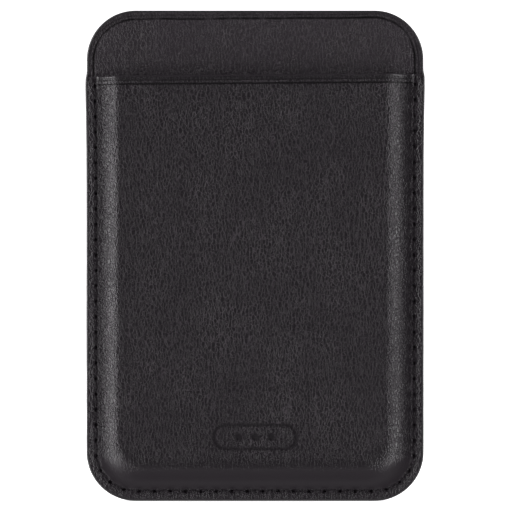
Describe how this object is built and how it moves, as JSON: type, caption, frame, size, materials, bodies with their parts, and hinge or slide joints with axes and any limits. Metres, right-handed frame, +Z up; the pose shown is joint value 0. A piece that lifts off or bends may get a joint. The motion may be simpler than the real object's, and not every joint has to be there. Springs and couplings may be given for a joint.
{
  "type": "card holder",
  "caption": "Slim upright card holder with a moulded, stitched leather pocket, which clings to the back of a phone by a hidden ring of magnets",
  "frame": {"origin": "the middle of the magnet ring, on the face that lies against the phone", "axes": "+X to the right seen from the front, +Y out of the phone face, +Z up towards the pocket's mouth"},
  "size_m": [0.0654, 0.0063, 0.095],
  "materials": {
    "leather": "satin",
    "lining": "matte",
    "edge_paint": "satin",
    "thread": "satin",
    "board": "matte",
    "magnet": "polished",
    "shield": "satin"
  },
  "bodies": {
    "root": {"back_cover": "leather", "core_board": "board", "ring_magnet_01": "magnet", "ring_magnet_02": "magnet", "ring_magnet_03": "magnet", "ring_magnet_04": "magnet", "ring_magnet_05": "magnet", "ring_magnet_06": "magnet", "ring_magnet_07": "magnet", "ring_magnet_08": "magnet", "ring_magnet_09": "magnet", "ring_magnet_10": "magnet", "ring_magnet_11": "magnet", "ring_magnet_12": "magnet", "ring_magnet_13": "magnet", "ring_magnet_14": "magnet", "ring_magnet_15": "magnet", "ring_magnet_16": "magnet", "align_magnet_upper": "magnet", "align_magnet_lower": "magnet", "shield_plate": "shield", "back_facing": "leather", "front_lining": "lining", "front_stiffener": "board", "front_cover": "leather", "mouth_edge_coat": "edge_paint", "edge_coat": "edge_paint", "slot_edge_coat": "edge_paint", "front_thread": "thread", "back_thread": "thread"}
  },
  "joints": []
}
